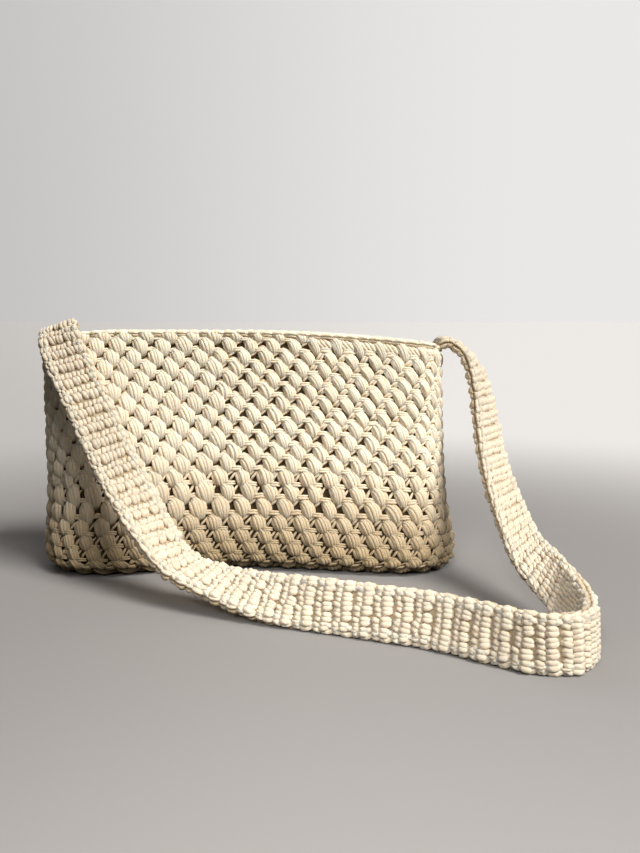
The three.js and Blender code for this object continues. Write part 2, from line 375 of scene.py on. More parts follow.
def curve_point(points, t, even_tension):
    """Point on a smooth curve through points, at t from 0 to 1."""
    last = len(points) - 1
    i = min(int(t * last), last - 1)
    u = t * last - i
    a, b = points[i], points[i + 1]
    before = points[i - 1] if i > 0 else 2 * a - b
    after = points[i + 2] if i + 2 <= last else 2 * b - a
    if even_tension:
        start, end = 0.5 * (b - before), 0.5 * (after - a)
    else:
        d0, d1, d2 = (max(np.linalg.norm(q - p), 1e-6) ** 0.5
                      for p, q in ((before, a), (a, b), (b, after)))
        start = d1 * ((a - before) / d0 - (b - before) / (d0 + d1) + (b - a) / d1)
        end = d1 * ((b - a) / d1 - (after - a) / (d1 + d2) + (after - b) / d2)
    return (a + start * u + (3 * (b - a) - 2 * start - end) * u**2
            + (2 * (a - b) + start + end) * u**3)


class Strap:
    """The strap's middle surface: centres, widths and normals at even parameters."""

    def __init__(self):
        def root(x, y, heading, lean):
            return (x, y, float(rim_height(np.float64(x))) + SEAT_RISE, heading, lean)

        rows = np.array([root(*LEFT_ROOT), *STRAP_ROUTE, root(*RIGHT_ROOT)], dtype=float)
        heading, lean = np.radians(rows[:, 3]), np.radians(rows[:, 4])
        aims = np.stack([np.cos(lean) * np.cos(heading), np.cos(lean) * np.sin(heading),
                         np.sin(lean)], 1)
        places = np.linspace(0, 1, (len(rows) - 1) * STRAP_STEPS + 1)
        self.centres = np.array([curve_point(rows[:, :3], t, False) for t in places])
        widths = np.array([curve_point(aims, t, True) for t in places])
        self.widths = widths / np.linalg.norm(widths, axis=1, keepdims=True)
        tangents = np.gradient(self.centres, axis=0)
        normals = np.cross(tangents, self.widths)
        self.normals = normals / np.linalg.norm(normals, axis=1, keepdims=True)
        self.walked = walk(self.centres)
        self.length = float(self.walked[-1])

    def at(self, across, through):
        """Points at these places across and through the strap, a grid with a row for each."""
        return np.array([
            self.centres + self.widths * w + self.normals * n for w, n in zip(across, through)
        ])

    def face(self, name, side):
        """One face: side 1 for the outer one, -1 for the one towards the bag."""
        across = np.linspace(-FACE_REACH, FACE_REACH, FACE_ROWS) * STRAP_WIDTH / 2
        grid = self.at(side * across, np.full(FACE_ROWS, side * STRAP_THICKNESS / 2))

        def lengthened(rows):
            return np.concatenate([rows[:1] + (rows[:1] - rows[1:2]) * END_STEPS, rows,
                                   rows[-1:] + (rows[-1:] - rows[-2:-1]) * END_STEPS])

        grid = lengthened(grid.transpose(1, 0, 2)).transpose(1, 0, 2)
        return surface_object(name, grid, lengthened(self.walked) - self.length / 2, across)


# ---------- yarn ----------
NEARLY_OUT = (0.02, 0.05, 1.0)  # out of the cloth, but never quite along a yarn


def eased(points, count):
    """count points on a smooth curve through a stitch's few points."""
    path = np.array(points, dtype=float)
    return np.array([curve_point(path, t, True) for t in np.linspace(0, 1, count)])


def tube_faces(rings, sides):
    """Faces between rings of vertices, in the order of the rings."""
    return [(k * sides + i, k * sides + (i + 1) % sides,
             (k + 1) * sides + (i + 1) % sides, (k + 1) * sides + i)
            for k in range(rings - 1) for i in range(sides)]


def yarn(points, thickness, rings, sides=6, taper=0.75):
    """A length of yarn as (vertices, faces, yarn places of the face corners), in mm."""
    path = eased(points, rings)
    tangents = np.gradient(path, axis=0)
    tangents /= np.linalg.norm(tangents, axis=1, keepdims=True)
    side = np.cross(tangents[0], NEARLY_OUT)
    vertices = []
    for k, (point, tangent) in enumerate(zip(path, tangents)):
        side = side - tangent * side.dot(tangent)
        side /= np.linalg.norm(side)
        up = np.cross(side, tangent)
        reach = abs(2 * k / (rings - 1) - 1)
        radius = thickness / 2 * (1 - (1 - taper) * reach**3)
        angles = 2 * np.pi * np.arange(sides) / sides
        vertices += [point + radius * (math.cos(a) * side + math.sin(a) * up) for a in angles]
    walked = walk(path)
    faces = tube_faces(rings, sides)
    places = [(walked[k + on], (i + round_on) / sides)
              for k in range(rings - 1) for i in range(sides)
              for on, round_on in ((0, 0), (0, 1), (1, 1), (1, 0))]
    faces.append(tuple(range(sides - 1, -1, -1)))
    faces.append(tuple(range((rings - 1) * sides, rings * sides)))
    places += [(0, i / sides) for i in range(sides - 1, -1, -1)]
    places += [(walked[-1], i / sides) for i in range(sides)]
    return vertices, faces, places


def fine_yarn(points, thickness, rings=4, taper=0.75):
    """A short length of yarn with few faces."""
    return yarn(points, thickness, rings, sides=5, taper=taper)


def stitch_object(name, lengths, collection):
    """One stitch made of several lengths of yarn."""
    vertices, faces, places = [], [], []
    for part_vertices, part_faces, part_places in lengths:
        offset = len(vertices)
        vertices += part_vertices
        faces += [tuple(v + offset for v in face) for face in part_faces]
        places += part_places
    mesh = new_mesh(name, vertices, faces)
    layer = mesh.uv_layers.new(name="Yarn")
    layer.data.foreach_set("uv", (np.array(places) * (MM, 1)).ravel())
    mesh.polygons.foreach_set("use_smooth", [len(face) == 4 for face in faces])
    piece = bpy.data.objects.new(name, mesh)
    collection.objects.link(piece)


# A puff is drawn from its lower point at the origin: x along the round, y up, z out from
# the cotton ground. Each kind has the path of its middle strand, which arches over at the
# top and hooks under to the left, how far the other strands fan out along it, how far from
# the middle strand the outer ones are at most, and the yarn's thickness.
PUFFS = {
    "puff": (((0.4, -0.2, 1.0), (0.5, 2.2, 3.2), (0.1, 4.7, 4.4), (-0.9, 7.2, 4.7),
              (-2.3, 9.4, 4.3), (-4.1, 10.9, 3.4), (-6.2, 11.1, 1.8)),
             (0.2, 0.62, 0.93, 1.0, 0.96, 0.8, 0.55), 2.9, 2.85),
    "full": (((0.4, -0.2, 1.2), (0.5, 2.2, 3.3), (0.3, 4.8, 4.4), (-0.4, 7.4, 4.6),
              (-1.5, 9.6, 4.2), (-3.2, 11.2, 3.2), (-5.2, 11.2, 1.8)),
             (0.3, 0.7, 0.96, 1.0, 0.96, 0.8, 0.55), 3.25, 2.95),
    "egg": (((1.3, -1.6, 0.4), (1.2, 0.8, 3.1), (0.7, 3.8, 4.9), (-0.2, 7.0, 5.3),
             (-1.3, 9.8, 4.8), (-2.7, 11.9, 3.3), (-4.2, 12.4, 1.2)),
            (0.1, 0.54, 0.9, 1.04, 1.0, 0.8, 0.45), 3.6, 3.3),
    "step": (((0.7, 0.2, 2.0), (0.8, 2.5, 3.6), (0.4, 4.9, 4.4), (-0.3, 7.3, 4.5),
              (-1.1, 9.4, 4.0), (-2.4, 10.9, 3.0), (-4.2, 11.1, 1.6)),
             (0.62, 0.84, 0.97, 1.0, 0.96, 0.8, 0.6), 3.5, 3.0),
}
STRAND_DOME = 1.4  # how much lower a puff's outer strands are than its middle one
THIN_YARN = 1.9  # of the bars and legs between the puffs


def puff_strands(draw, kind):
    spine, fan, reach, thickness = PUFFS[kind]
    spine = np.array(spine)
    along = np.gradient(spine[:, :2], axis=0)
    along /= np.linalg.norm(along, axis=1, keepdims=True)
    strands = []
    for k in range(-2, 3):
        side = k / 2 + draw.uniform(-0.1, 0.1)
        high = draw.uniform(-0.35, 0.25)
        path = []
        for (x, y, z), (dx, dy), share in zip(spine, along, fan):
            offset = side * reach * share
            dome = high * share - STRAND_DOME * side**2 * share
            path.append((x + dy * offset, y - dx * offset, z + dome - WALL_DEPTH))
        strands.append(fine_yarn(path, thickness * draw.uniform(0.88, 1.14), rings=8))
    return strands


def bars(heights, path):
    """The same length of yarn at each of these heights."""
    return [fine_yarn([(x, y + rise, z) for x, rise, z in path], THIN_YARN) for y in heights]


def puff_stitch(draw, kind):
    """A puff, the bars to the next puff of its round, and the legs of the puff below right."""
    lean = draw.uniform(-0.4, 0.4)
    sunk = 0.9 if kind == "egg" else 0.0
    across = bars((2.7, 4.2), [(1.8, -0.6, -2.6 - sunk), (4.0, 0.3, -1.5 - sunk),
                               (7.0, 0.5 + lean, -1.5 - sunk), (10.2, 0.3, -2.8 - sunk)])
    moves = ((0, 0, 0.7), (2.0, -0.4, 0.4)) if kind == "puff" else ((0, 0, 0),)
    legs = [[(x - 1.2, y - 2.6, z - 4.0), (x + 0.7, y - 0.6, z - 2.9),
             (x + 2.7 + lean, y + 1.3, z - 2.7), (x + 4.6, y + 2.8, z - 3.6)]
            for x, y, z in moves]
    return puff_strands(draw, kind) + across + [fine_yarn(leg, THIN_YARN) for leg in legs]


def step_stitch(draw):
    """A puff of a stepped round, with bars to the right, and a leg below and one above it."""
    lean = draw.uniform(-0.4, 0.4)
    across = bars((1.5, 3.0), [(2.3, -0.6, -2.6), (4.6, 0.2, -1.5), (6.8, 0.4 + lean, -1.7),
                               (9.2, 0.2, -3.0)])
    below = [(6.2, -8.2, -4.3), (7.5 + lean, -5.4, -2.9), (9.0 + lean, -2.4, -2.7),
             (10.6, 0.6, -3.6)]
    above = [(-8.6, 3.2, -3.8), (-7.2 + lean, 5.8, -2.8), (-5.8, 8.2, -2.8), (-4.4, 10.6, -3.8)]
    legs = [fine_yarn(leg, THIN_YARN) for leg in (below, above)]
    return puff_strands(draw, "step") + across + legs


def knot_stitch(draw):
    """What shows of a short stitch between the leaning puffs under the rim."""
    lean = draw.uniform(-0.5, 0.5)
    strands = [[(x * 0.5 + 2.4, -4.0, -3.8), (x + 1.2, -1.0, -2.1),
                (x * 1.1 - 0.6 + lean, 2.4, -1.7), (x * 0.8 - 2.2 + lean, 5.8, -2.7)]
               for x in (-2.8, 0.0, 2.8)]
    return [fine_yarn(strand, 3.7, taper=0.6) for strand in strands]


def lining_stitch(draw):
    """The back of a puff: a flat bar over three short legs."""
    bar = [(-7.8, 6.6, -1.9), (-4, 7.2, -0.7), (0, 7.4 + draw.uniform(-0.3, 0.3), -0.5),
           (4, 7.0, -0.7), (7.8, 6.2, -1.9)]
    legs = [[(x, 0.4, -1.8), (x * 0.7 + 0.3, 3.0, -0.8), (x * 0.8 + 0.6, 5.8, -1.4)]
            for x in (-3.4, -0.2, 3.0)]
    return [fine_yarn(bar, 2.1, rings=5)] + [fine_yarn(leg, 2.0, rings=3) for leg in legs]


def base_stitch(draw):
    """A close, low stitch of the base."""
    lean = draw.uniform(-0.5, 0.5)
    arms = [[(-2.6 + s, -0.6, -3.2), (-1.9 + s + lean, 2.6, -1.4), (0.2 + s, 6.6, -2.6)]
            for s in (0, 3.2)]
    bar = [(-4.2, 7.4, -3.0), (-1, 8.4, -1.6), (2.6, 8.2, -1.6), (5.2, 7.0, -3.0)]
    return [fine_yarn(arm, 2.5) for arm in arms] + [fine_yarn(bar, 2.3)]


def knob_stitch(draw):
    """One stitch of a rib of the strap, as wide as a fifth of the strap."""
    d = [draw.uniform(-0.4, 0.4) for _ in range(6)]
    near = [(-1.0, -0.9, -1.8), (0.9, -1.3 + d[0], -0.4), (3.2, -1.2 + d[1], 0.1),
            (5.8, -0.6, -2.7)]
    far = [(-1.0, 1.0, -1.8), (0.9, 1.4 + d[2], -0.4), (3.0, 1.3 + d[3], 0.0),
           (5.6, 0.8, -2.7)]
    low = [(-5.7, 1.9, -2.7), (-4.1, 1.8 + d[4], -0.8), (-2.4, 1.0, -0.4), (-0.7, -0.4, -1.7)]
    under = [(-5.7, -1.1, -2.8), (-4.1, -1.3 + d[5], -1.0), (-2.4, -2.0, -0.6),
             (-0.7, -3.2, -1.8)]
    return [yarn(near, 4.1, 5, taper=0.5), yarn(far, 4.0, 5, taper=0.5),
            fine_yarn(low, 3.7, rings=5, taper=0.5), fine_yarn(under, 3.6, taper=0.5)]


def edge_stitch(draw):
    """A loop of the chain along the strap's edge, with y away from its middle."""
    d = [draw.uniform(-0.35, 0.35) for _ in range(3)]
    outer = [(-4.2, -2.4, -2.6), (-2.4, -0.3 + d[0], -1.6), (0.4, 0.4 + d[1], -1.4),
             (3.2, -0.5, -2.6)]
    inner = [(-3.4, -4.0, -2.0), (-1.4, -2.7 + d[2], -0.5), (1.4, -2.4, -0.3),
             (3.8, -3.4, -1.8)]
    return [fine_yarn(outer, 3.0, rings=5), fine_yarn(inner, 3.1, rings=5)]


def chain_stitch(draw):
    """One link of the chain round the mouth, with y from the outer edge inwards."""
    d = draw.uniform(-0.25, 0.25)
    front = [(-4.8, 3.4, -2.6), (-2.8, 1.5 + d, -1.5), (0.2, 0.9, -0.9), (3.2, 1.5, -1.4),
             (5.2, 3.4, -2.5)]
    back = [(-4.8, 5.0, -2.6), (-2.8, 6.8 - d, -1.5), (0.2, 7.3, -0.9), (3.2, 6.8, -1.4),
            (5.2, 5.0, -2.5)]
    under = [(-4.0, 2.0, -3.6), (0, 1.6, -2.9), (4.0, 2.0, -3.6)]
    return [yarn(front, 2.5, 6, taper=0.4), yarn(back, 2.5, 6, taper=0.4), yarn(under, 2.2, 4)]


# How each kind of stitch is made, and in how many variants.
STITCHES = {
    "puff": (lambda draw: puff_stitch(draw, "puff"), 6),
    "full": (lambda draw: puff_stitch(draw, "full"), 5),
    "egg": (lambda draw: puff_stitch(draw, "egg"), 5),
    "step": (step_stitch, 4),
    "knot": (knot_stitch, 2),
    "lining": (lining_stitch, 2),
    "base": (base_stitch, 3),
    "knob": (knob_stitch, 4),
    "edge": (edge_stitch, 3),
    "chain": (chain_stitch, 4),
}


def stitch_shapes():
    """A collection of stitches in a few variants, and where each kind starts."""
    collection = bpy.data.collections.new("stitches")
    draw = random.Random(11)
    kinds, count = {}, 0
    for kind, (make, variants) in STITCHES.items():
        kinds[kind] = (count, variants)
        for _ in range(variants):
            stitch_object(f"stitch_{count:02d}_{kind}", make(draw), collection)
            count += 1
    return collection, kinds


class Places:
    """Where stitches go on a flat cloth, with the size, turn and shape of each."""

    def __init__(self, kinds, seed):
        self.kinds, self.draw = kinds, random.Random(seed)
        self.points, self.sizes, self.turns, self.shapes = [], [], [], []

    def add(self, kind, x, y, size=(1, 1, 1), turn=0.0):
        first, variants = self.kinds[kind]
        self.points.append((x, y, 0))
        self.sizes.append(size)
        self.turns.append(turn)
        self.shapes.append(first + self.draw.randrange(variants))

    def object(self, name):
        mesh = new_mesh(name, self.points, [])
        keep_values(mesh, "size", "FLOAT_VECTOR", self.sizes)
        keep_values(mesh, "turn", "FLOAT", self.turns)
        keep_values(mesh, "shape", "INT", self.shapes)
        return linked_object(name, mesh)


# ---------- the node tree that lays stitches on a surface ----------
class Tree:
    """Small helper to build a node tree."""

    def __init__(self, tree):
        self.tree = tree

    @staticmethod
    def socket(sockets, key):
        if isinstance(key, int):
            return sockets[key]
        return next(s for s in sockets if s.name == key and s.enabled)

    def fill(self, node, inputs):
        """Links each input to a socket, or sets its value."""
        for key, value in inputs.items():
            socket = self.socket(node.inputs, key)
            if isinstance(value, bpy.types.NodeSocket):
                self.tree.links.new(value, socket)
            else:
                socket.default_value = value

    def node(self, kind, inputs=None, **settings):
        made = self.tree.nodes.new(kind)
        for key, value in settings.items():
            setattr(made, key, value)
        self.fill(made, inputs or {})
        return made

    def out(self, kind, inputs=None, output=None, **settings):
        """A new node's output, its first one if none is named."""
        made = self.node(kind, inputs, **settings)
        if output is None:
            return next(s for s in made.outputs if s.enabled)
        return self.socket(made.outputs, output)

    def compute(self, operation, first, second=0.0):
        return self.out("ShaderNodeMath", {0: first, 1: second}, operation=operation)

    def plus(self, first, second):
        return self.compute("ADD", first, second)

    def times(self, first, second):
        return self.compute("MULTIPLY", first, second)

    def vector(self, operation, first, second=None):
        """Arithmetic with vectors, where a vector is scaled by a single value."""
        inputs = {0: first}
        if second is not None:
            inputs["Scale" if operation == "SCALE" else 1] = second
        return self.out("ShaderNodeVectorMath", inputs, operation=operation)

    def fade(self, value, start, end, low=0.0, high=1.0):
        """Low up to start, high from end on, and a smooth change between them."""
        return self.out("ShaderNodeMapRange", {
            "Value": value, "From Min": start, "From Max": end, "To Min": low, "To Max": high},
            interpolation_type="SMOOTHSTEP")

    def mix(self, factor, first, second, kind="RGBA", **settings):
        return self.out("ShaderNodeMix", {"Factor": factor, "A": first, "B": second},
                        data_type=kind, **settings)


def shading(owner):
    """The node tree of a material or a world."""
    owner.use_nodes = True
    return Tree(owner.node_tree)


def new_group(name, kind, inputs, outputs):
    """A tree with these inputs and outputs, and the inputs' sockets in it."""
    tree = bpy.data.node_groups.new(name, kind)
    for in_out, sockets in (("INPUT", inputs), ("OUTPUT", outputs)):
        for label, holds in sockets.items():
            tree.interface.new_socket(label, in_out=in_out, socket_type="NodeSocket" + holds)
    t = Tree(tree)
    return t, t.node("NodeGroupInput").outputs


def laying_tree():
    t, given = new_group("Stitches laid on a surface", "GeometryNodeTree", {
        "Places": "Geometry", "Surface": "Object", "Stitches": "Collection",
        "Size variation": "Float", "Turn variation": "Float", "Seed": "Int",
        "Yarn": "Material"}, {"Cloth": "Geometry"})

    def named(name, kind):
        return t.out("GeometryNodeInputNamedAttribute", {"Name": name}, data_type=kind)

    def chance(low, high, step):
        seed = t.plus(given["Seed"], step)
        return t.out("FunctionNodeRandomValue", {"Min": low, "Max": high, "Seed": seed},
                     data_type="FLOAT")

    def variation(name, step):
        return chance(t.times(given[name], -1.0), given[name], step)

    def stored(geometry, name, value, domain):
        return t.out("GeometryNodeStoreNamedAttribute", {
            "Geometry": geometry, "Name": name, "Value": value}, data_type="FLOAT",
            domain=domain)

    turn = t.plus(named("turn", "FLOAT"), variation("Turn variation", 1.0))
    euler = t.out("ShaderNodeCombineXYZ", {"Z": turn})
    rotation = t.out("FunctionNodeEulerToRotation", {"Euler": euler})
    factor = t.plus(variation("Size variation", 2.0), 1.0)
    scale = t.vector("SCALE", named("size", "FLOAT_VECTOR"), factor)
    shapes = t.out("GeometryNodeCollectionInfo", {
        "Collection": given["Stitches"], "Separate Children": True, "Reset Children": True})
    repeated = t.out("GeometryNodeInstanceOnPoints", {
        "Points": given["Places"], "Instance": shapes, "Pick Instance": True,
        "Instance Index": named("shape", "INT"), "Rotation": rotation, "Scale": scale})
    toned = stored(repeated, "tone", chance(0.0, 1.0, 3.0), "INSTANCE")
    real = t.out("GeometryNodeRealizeInstances", {"Geometry": toned})
    flat = t.out("GeometryNodeInputPosition")
    height = t.out("ShaderNodeSeparateXYZ", {0: flat}, "Z")
    measured = stored(real, "height", height, "POINT")
    surface = t.out("GeometryNodeObjectInfo", {"Object": given["Surface"]}, "Geometry")
    place = t.vector("ADD", flat, (FLAT_ORIGIN, FLAT_ORIGIN, 0.0))

    def sampled(value):
        return t.out("GeometryNodeSampleUVSurface", {
            "Mesh": surface, "Value": value, "UV Map": named("flat", "FLOAT_VECTOR"),
            "Sample UV": place}, data_type="FLOAT_VECTOR")

    raise_by = t.vector("SCALE", sampled(named("outward", "FLOAT_VECTOR")), height)
    laid = t.vector("ADD", sampled(flat), raise_by)
    wrapped = t.out("GeometryNodeSetPosition", {"Geometry": measured, "Position": laid})
    finished = t.out("GeometryNodeSetMaterial", {"Geometry": wrapped, "Material": given["Yarn"]})
    t.node("NodeGroupOutput", {"Cloth": finished})
    return t.tree


class Crochet:
    """The stitches' shapes, and the tree that works them onto a surface."""

    def __init__(self):
        self.shapes, self.kinds = stitch_shapes()
        self.tree = laying_tree()

    def work(self, name, places, surface, yarn_used, seed, size=0.06, turn=0.08):
        """Works the stitches at these places onto the surface, as one plain mesh."""
        piece = places.object(name + "_places")
        modifier = piece.modifiers.new("Stitches", "NODES")
        modifier.node_group = self.tree
        values = {"Surface": surface, "Stitches": self.shapes, "Size variation": size,
                  "Turn variation": turn, "Seed": seed, "Yarn": yarn_used}
        for item in self.tree.interface.items_tree:
            if item.item_type == "SOCKET" and item.name in values:
                modifier[item.identifier] = values[item.name]
        piece.update_tag()
        graph = bpy.context.evaluated_depsgraph_get()
        mesh = bpy.data.meshes.new_from_object(
            piece.evaluated_get(graph), preserve_all_data_layers=True, depsgraph=graph)
        bpy.data.objects.remove(piece)
        return linked_object(name, mesh)

    def clear(self):
        for stitch in list(self.shapes.objects):
            bpy.data.objects.remove(stitch)
        bpy.data.collections.remove(self.shapes)


# ---------- materials ----------
PLIES = 3.0
PLY_ROUNDNESS = 0.6
FIBRE_SCALE = 1400.0  # of the noise for single fibres, and for slow drifts of tone
CLOUD_SCALE = 38.0
DRIFT = 0.16  # how much each of these changes the tone
SPECK = 0.22
# Painted shade: the yarn darker in the creases between its plies.
PLY_CREASE_SHADE = 0.07
TONE_SPREAD = 0.12  # from stitch to stitch
TWISTS = 420.0  # of the yarn, a metre
RELIEF = 0.35  # of plies and fibres, and its depth in metres
RELIEF_DEPTH = 0.0004
# Painted shade: a tint that darkens the yarn towards the base.
BASE_SHADE_TINT = (0.39, 0.345, 0.255, 1)
# Each cotton: the yarn's colour, its painted shade colour deep in the stitches, how deep they
# are, and the height up to which the yarn is darkened towards the base as painted shade.
COTTONS = {
    "puffs": ((0.905, 0.765, 0.583), (0.42, 0.30, 0.15), WALL_DEPTH, 98),
    "inside": ((0.78, 0.68, 0.50), (0.40, 0.29, 0.16), 2.6, 0.1),
    "chain": ((0.88, 0.775, 0.61), (0.60, 0.48, 0.30), 5.0, 0.1),
    "ribs": ((0.69, 0.592, 0.462), (0.44, 0.33, 0.19), 3.0, 0.1),
    # Painted shade: the ground behind the puffs and the band inside the strap are dark so that
    # the gaps between stitches read as shadow.
    "ground": ((0.17, 0.12, 0.065), (0.12, 0.08, 0.04), 6.0, RIM),
    "band": ((0.50, 0.40, 0.26), (0.40, 0.31, 0.18), 3.0, 0.1),
}


def yarn_group():
    """Colour and surface of spun cotton yarn: ply twist and loose fibre, with painted shade in
    the stitches' depths, in the ply creases and towards the base.
    """
    t, given = new_group("Spun cotton", "ShaderNodeTree", {
        "Yarn colour": "Color", "Depth shade colour": "Color", "Depth": "Float", "Base shade height": "Float",
    }, {"Colour": "Color", "Roughness": "Float", "Normal": "Vector"})

    def attribute(name):
        return t.out("ShaderNodeAttribute", output="Fac", attribute_name=name,
                     attribute_type="GEOMETRY")

    def change(value, middle, amount):
        return t.times(t.compute("SUBTRACT", value, middle), amount)

    places = t.out("ShaderNodeUVMap", uv_map="Yarn")
    split = t.node("ShaderNodeSeparateXYZ", {0: places}).outputs
    turn = t.plus(t.times(split["X"], TWISTS), t.times(split["Y"], PLIES))
    wave = t.compute("SINE", t.times(turn, math.pi))
    plies = t.compute("POWER", t.compute("ABSOLUTE", wave), PLY_ROUNDNESS)

    spot = t.out("ShaderNodeTexCoord", output="Object")
    fibre = t.out("ShaderNodeTexNoise", {
        "Vector": spot, "Scale": FIBRE_SCALE, "Detail": 3.0, "Roughness": 0.7})
    cloud = t.out("ShaderNodeTexNoise", {"Vector": spot, "Scale": CLOUD_SCALE, "Detail": 3.0})

    depth = given["Depth"]
    # Painted shade: the yarn drawn darker deep in the stitches than at their crests.
    open_share = t.fade(attribute("height"), t.times(depth, -1.0), t.times(depth, -0.2))
    colour = t.mix(open_share, given["Depth shade colour"], given["Yarn colour"])
    slow = t.plus(change(attribute("tone"), 0.5, TONE_SPREAD), change(cloud, 0.5, DRIFT))
    # Random fibre specks, and painted shade in the ply creases.
    quick = t.plus(change(fibre, 0.5, SPECK), change(plies, 0.7, PLY_CREASE_SHADE))
    value = t.plus(t.plus(slow, quick), 1.0)
    tinted = t.out("ShaderNodeHueSaturation", {"Value": value, "Color": colour})
    # Painted shade: the yarn darkened towards the base, fading out at the given height.
    up = t.out("ShaderNodeSeparateXYZ", {0: spot}, "Z")
    base_shade_share = t.fade(up, 0.0, given["Base shade height"], 1.0, 0.0)
    base_shaded = t.mix(base_shade_share, tinted, BASE_SHADE_TINT, blend_type="MULTIPLY")

    lift = t.plus(t.times(plies, 0.75), t.times(fibre, 0.6))
    bump = t.out("ShaderNodeBump", {
        "Strength": RELIEF, "Distance": RELIEF_DEPTH, "Height": lift})
    rough = t.plus(t.times(fibre, 0.18), 0.82)
    t.node("NodeGroupOutput", {"Colour": base_shaded, "Roughness": rough, "Normal": bump})
    return t.tree


def cotton(name, group):
    yarn_colour, depth_shade_colour, depth, base_shade_height = COTTONS[name]
    material = bpy.data.materials.new("cotton_" + name)
    t = shading(material)
    look = t.node("ShaderNodeGroup", {
        "Yarn colour": (*yarn_colour, 1), "Depth shade colour": (*depth_shade_colour, 1),
        "Depth": depth * MM, "Base shade height": base_shade_height * MM}, node_tree=group).outputs
    t.fill(t.tree.nodes["Principled BSDF"], {
        "Base Color": look["Colour"], "Roughness": look["Roughness"], "Normal": look["Normal"],
        "Sheen Weight": 0.18, "Sheen Roughness": 0.5, "Specular IOR Level": 0.2,
        "Subsurface Weight": 0.5, "Subsurface Radius": (1.0, 0.72, 0.45),
        "Subsurface Scale": 0.0018})
    material.diffuse_color = (*yarn_colour, 1)
    return material


# ---------- pieces of the bag ----------
def hand_over(piece, node):
    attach(piece, "root")
    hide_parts(node)
    return piece


def closed_mesh(name, rings, material):
    """A closed skin through rings of equal length, capped at both ends."""
    count = len(rings[0])
    vertices = [*np.concatenate(rings)]
    faces = tube_faces(len(rings), count)
    for ring, backwards in ((0, True), (len(rings) - 1, False)):
        middle = len(vertices)
        vertices.append(rings[ring].mean(axis=0))
        for i in range(count):
            edge = (ring * count + i, ring * count + (i + 1) % count)
            faces.append((middle, *(edge[::-1] if backwards else edge)))
    mesh = new_mesh(name, vertices, faces)
    mesh.polygons.foreach_set("use_smooth", [True] * len(faces))
    mesh.materials.append(material)
    return linked_object(name, mesh)


# The cotton ground. Floors: height, inset, and how far the rings are drawn in to the middle.
# Walls: inset, and where they start and end. The rings between these: height and inset.
OUTER_FLOOR = (4, 8, (0.93, 0.6, 0.25))
OUTER_FOOT = ((4, 9.5), (6.5, 6.5))
OUTER_WALL = (WALL_DEPTH - 0.3, 11, RIM)
INNER_WALL = (WALL_DEPTH + 1.2, RIM, 14)
INNER_FOOT = ((8.4, 8.5), (6, 12))
INNER_FLOOR = (6, 10, (0.3, 0.6, 0.93))
GROUND_ROWS = 30


def bag_ground(material):
    """The thin cotton ground behind the puffs, up the outside and back down the inside, drawn
    near black as painted shade in the gaps between the stitches.
    """
    def floor(z, inset, shares):
        base = level_outline(0, inset)
        return [raised(towards_spine(base, share), z) for share in shares]

    def rings(places):
        return [raised(level_outline(z, inset), z) for z, inset in places]

    def wall(inset, start, end):
        return rings((z, inset) for z in np.linspace(start, end, GROUND_ROWS))

    skin = (floor(*OUTER_FLOOR) + rings(OUTER_FOOT) + wall(*OUTER_WALL)
            + wall(*INNER_WALL) + rings(INNER_FOOT) + floor(*INNER_FLOOR))
    return closed_mesh("bag_ground", skin, material)


def strap_ground(strap, material):
    """The thin cotton band in the middle of the strap, drawn dark as painted shade in the gaps
    between the ribs.
    """
    half = STRAP_WIDTH / 2 - 0.6
    flat = half - 0.9  # up to where its edges slope
    across = (half, flat, 0, -flat, -half, -flat, 0, flat)
    through = np.array([0, 1, 1, 1, 0, -1, -1, -1]) * 1.3
    rings = strap.at(across, through).transpose(1, 0, 2)
    return closed_mesh("strap_ground", rings, material)


def place_round(index, length):
    """(distance along a round, local pitch) of a puff: even on the front, spread behind."""
    behind = (length - 2 * FRONT_PUFFS * PUFF_PITCH) / (PUFFS_ROUND - 2 * FRONT_PUFFS)
    extra = max(abs(index) - FRONT_PUFFS, 0)
    along = min(abs(index), FRONT_PUFFS) * PUFF_PITCH + extra * behind
    return math.copysign(along, index), behind if extra else PUFF_PITCH


def puff_kind(kind, leans, index):
    if leans:
        return "puff"
    upright = kind == "full" and not EGGS[0] < index < EGGS[1]
    return "egg" if upright else kind


def puff_places(wall, kinds):
    """The rounds of puffs, split into four quarters of the bag."""
    quarters = [Places(kinds, 20 + k) for k in range(4)]
    phases, phase = [], 0.0
    for *_, kind in PUFF_ROUNDS:
        phases.append(phase)
        phase += STEP_SHIFT if kind == "step" else ROUND_SHIFT
    for row, ((z, stretch, breadth, kind), phase) in enumerate(zip(PUFF_ROUNDS, phases)):
        y = wall.drop(z) if z > 0 else wall.base_edge + z
        length = wall.length(y)
        for k in range(PUFFS_ROUND):
            index = (k + phase - phases[FIRST_ROUND] + PUFFS_ROUND / 2) % PUFFS_ROUND
            index -= PUFFS_ROUND / 2
            along, pitch = place_round(index, length)
            leans = z > LEANING_ABOVE and LEANING[0] < index < LEANING[1]
            tall = HIGH_PUFFS if leans and row == 1 else stretch
            size = (breadth * FLAT_ROUND / length * pitch / PUFF_PITCH, tall, 1)
            quarter = quarters[int((index / PUFFS_ROUND + 0.5) * 4) % 4]
            shown = "knot" if leans and row == 0 else puff_kind(kind, leans, index)
            quarter.add(shown, along / length * FLAT_ROUND, y, size)
    return quarters


def even_rounds(skin, start, spacing, pitch, shift):
    """(x, y, round's length, its count) of places in rounds down to the middle of the base."""
    y, index = start, 0
    while y > skin.flat_y[0] + 2:
        length = skin.length(y)
        count = round(length / pitch)
        for k in range(count):
            share = ((k + shift * index) / count + 0.5) % 1 - 0.5
            yield share * FLAT_ROUND, y, length, count
        y -= spacing
        index += 1


